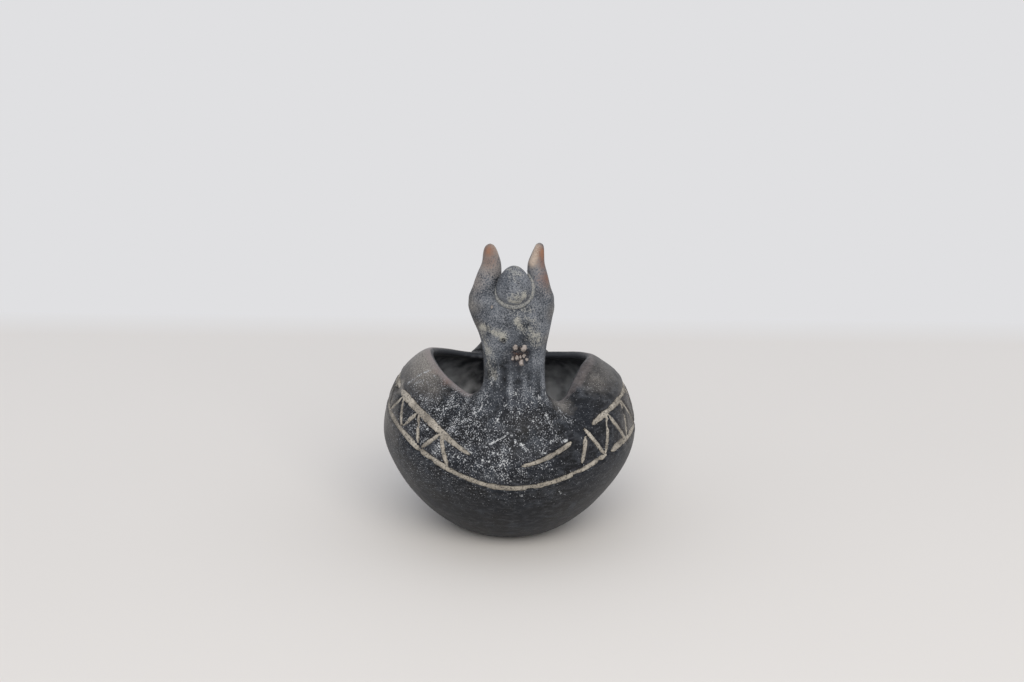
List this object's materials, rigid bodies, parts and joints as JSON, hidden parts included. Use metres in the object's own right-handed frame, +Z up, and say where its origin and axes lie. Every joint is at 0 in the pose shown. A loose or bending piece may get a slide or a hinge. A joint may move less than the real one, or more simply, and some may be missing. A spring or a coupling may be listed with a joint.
{
  "type": "animal-shaped dish",
  "caption": "Small hand-built dish in the form of a horned animal: round bowl with a saddle-shaped rim, neck and head at the front, tail lug at the back, zigzag band filled with white paste.",
  "frame": {"origin": "centre of the flat base that the dish stands on", "axes": "+Z up; the head faces -Y and the tail is at +Y; +X is on the right when the head is looked at from the front"},
  "size_m": [0.08, 0.0837, 0.1008],
  "materials": {
    "black_clay": "unglazed, burnished, fired black, semi-matt",
    "grey_clay": "unglazed, rubbed to ash grey, matt",
    "white_paste": "chalky, matt, worn"
  },
  "bodies": {
    "root": {"bowl": "black_clay", "tail_lug": "black_clay", "neck": "grey_clay", "horn_left": "grey_clay", "horn_right": "grey_clay", "egg_boss": "grey_clay", "boss_collar": "grey_clay", "lower_line_paste_front": "white_paste", "lower_line_paste_right": "white_paste", "lower_line_paste_back": "white_paste", "upper_line_paste_front": "white_paste", "upper_line_paste_right": "white_paste", "upper_line_paste_back": "white_paste", "upper_line_paste_left": "white_paste", "zigzag_paste_01": "white_paste", "zigzag_paste_02": "white_paste", "zigzag_paste_03": "white_paste", "zigzag_paste_04": "white_paste", "zigzag_paste_05": "white_paste", "zigzag_paste_06": "white_paste", "zigzag_paste_07": "white_paste", "zigzag_paste_08": "white_paste", "zigzag_paste_09": "white_paste", "zigzag_paste_10": "white_paste", "zigzag_paste_11": "white_paste", "zigzag_paste_12": "white_paste", "zigzag_paste_13": "white_paste", "zigzag_paste_14": "white_paste", "zigzag_paste_15": "white_paste", "zigzag_paste_16": "white_paste", "zigzag_paste_17": "white_paste", "zigzag_paste_18": "white_paste"}
  },
  "joints": []
}
